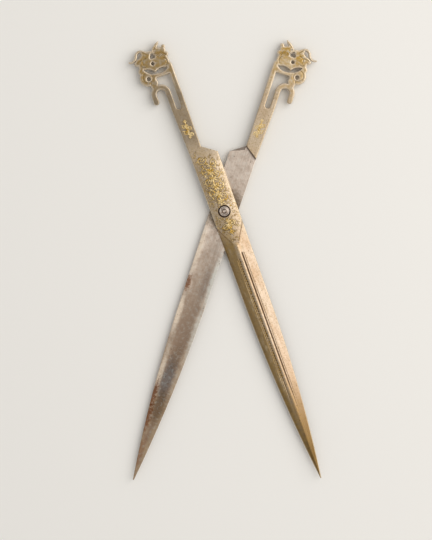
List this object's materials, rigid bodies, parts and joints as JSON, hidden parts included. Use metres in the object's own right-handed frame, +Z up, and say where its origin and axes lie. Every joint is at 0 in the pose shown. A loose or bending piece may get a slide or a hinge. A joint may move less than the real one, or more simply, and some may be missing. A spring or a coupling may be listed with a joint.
{
  "type": "calligraphy scissors",
  "caption": "Long riveted steel scissors with openwork handles, gold-laid bolster and ribbed pointed blades, lying open.",
  "frame": {"origin": "on the pivot axis, at the flat face of the rivet's tail that lies on the table", "axes": "+Z up along the pivot axis, out of the front face; +Y towards the handles, halfway between the two halves; +X to the right as seen from the front"},
  "size_m": [0.1082, 0.2507, 0.0073],
  "materials": {
    "front_steel": "satin steel with a warm gilt patina",
    "rear_steel": "ground steel, worn, with brown spots",
    "rivet_steel": "polished steel",
    "collar": "blackened steel",
    "gold": "worn gold leaf over hatched steel"
  },
  "bodies": {
    "rear": {"rear_half": "rear_steel", "pivot_rivet": "rivet_steel", "rear_collar": "collar", "rear_bolster_gold": "gold", "rear_handle_gold": "gold"},
    "front": {"front_half": "front_steel", "front_collar": "collar", "front_bolster_gold": "gold", "front_handle_gold": "gold"}
  },
  "joints": [
    {"name": "pivot", "type": "hinge", "parent": "rear", "child": "front", "pos_m": [0, 0, 0.0034], "axis": [0, 0, 1], "range_deg": [-37.8, 112.2]}
  ]
}
